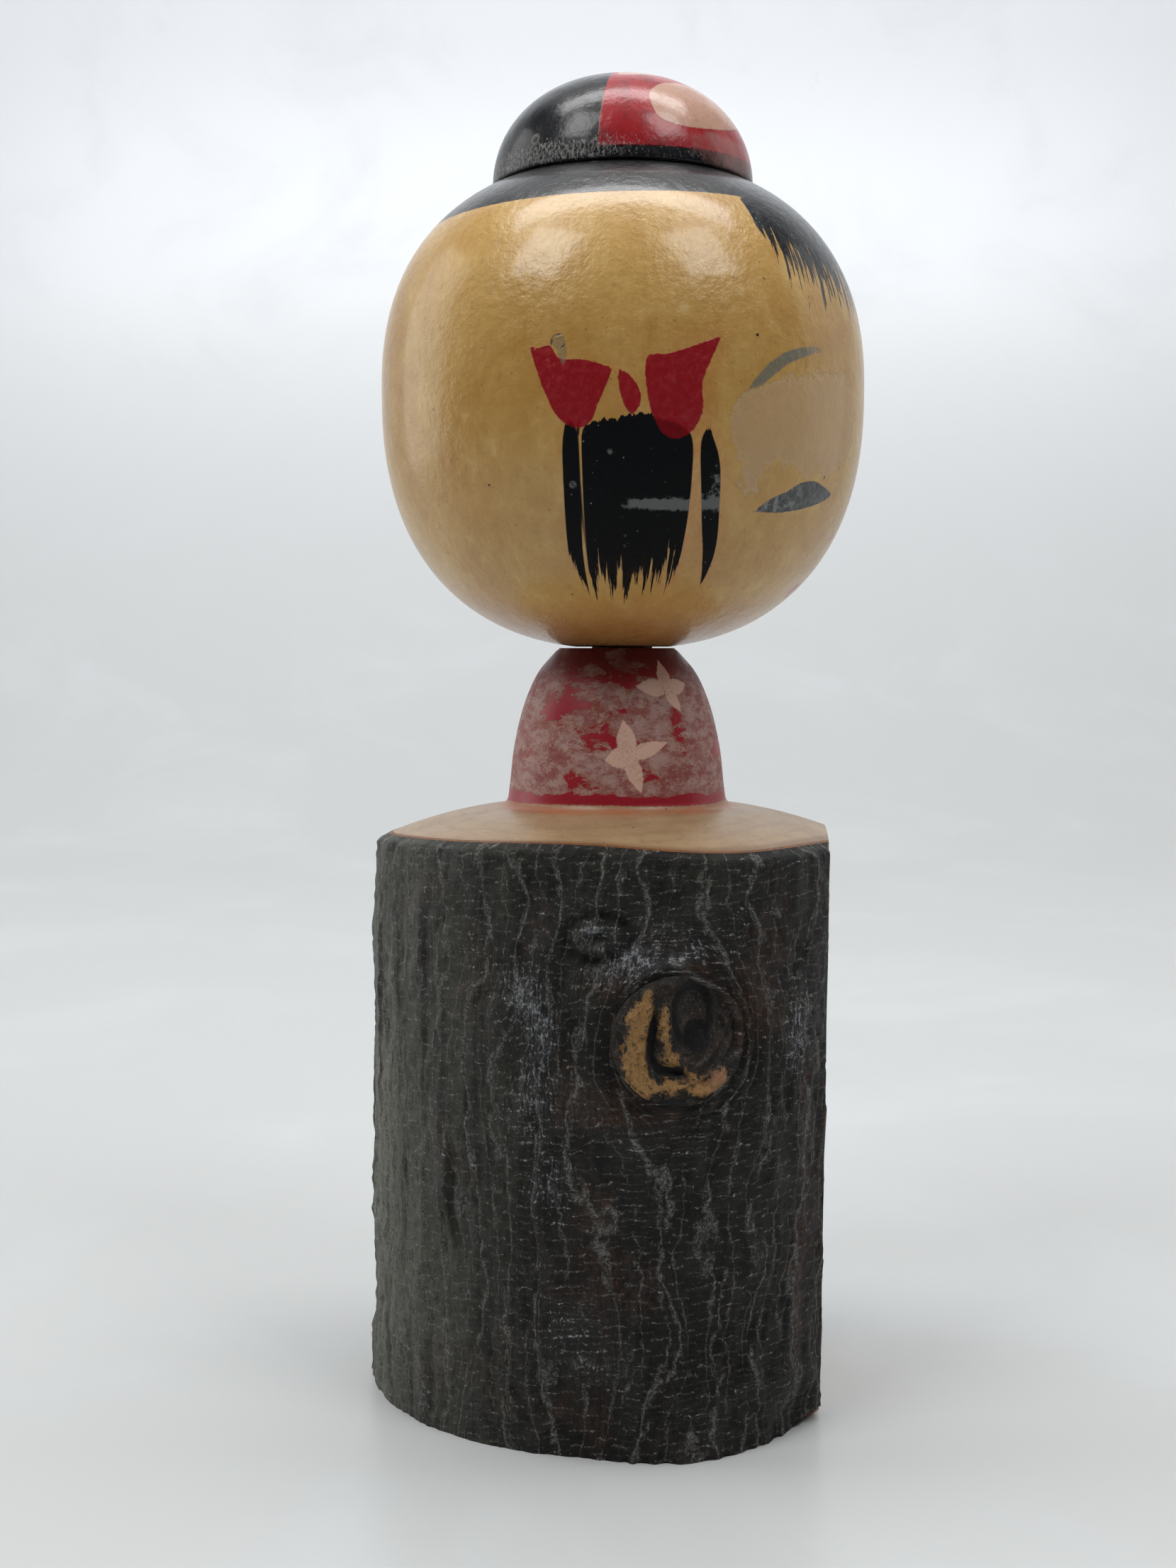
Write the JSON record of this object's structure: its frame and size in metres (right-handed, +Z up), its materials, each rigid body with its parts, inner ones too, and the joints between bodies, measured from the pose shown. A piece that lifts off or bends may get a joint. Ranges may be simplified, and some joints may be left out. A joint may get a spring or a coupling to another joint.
{
  "type": "kokeshi doll",
  "caption": "Turned wooden doll bust with a round head and topknot, standing on a short length of branch with its bark on; the head turns on a hidden neck peg.",
  "frame": {"origin": "on the neck peg's axis, at the flat underside of the branch", "axes": "+Z up along the neck peg's axis; -Y is the doll's front, where the branch is sawn flat; +X is the doll's left"},
  "size_m": [0.055, 0.057, 0.15],
  "materials": {
    "turned_wood": "clear-lacquered pale wood, the bust painted red and worn",
    "bast": "thin brown living bark, matt",
    "bark": "dark fissured bark, sealed, low sheen",
    "knot_wood": "weathered knot, tan wood and dark hollow",
    "dowel": "plain dowel",
    "lacquered_head": "glossy yellowed lacquer over painted hair, face and bow",
    "lacquered_topknot": "glossy black and red paint, worn near the base"
  },
  "bodies": {
    "base": {"branch_core": "turned_wood", "inner_bark": "bast", "bark": "bark", "branch_knot": "knot_wood", "neck_peg": "dowel"},
    "upper": {"head": "lacquered_head", "topknot": "lacquered_topknot", "topknot_peg": "dowel"}
  },
  "joints": [
    {"name": "head_turn", "type": "hinge", "parent": "base", "child": "upper", "pos_m": [0, 0, 0.0857], "axis": [0, 0, 1], "continuous": true}
  ]
}
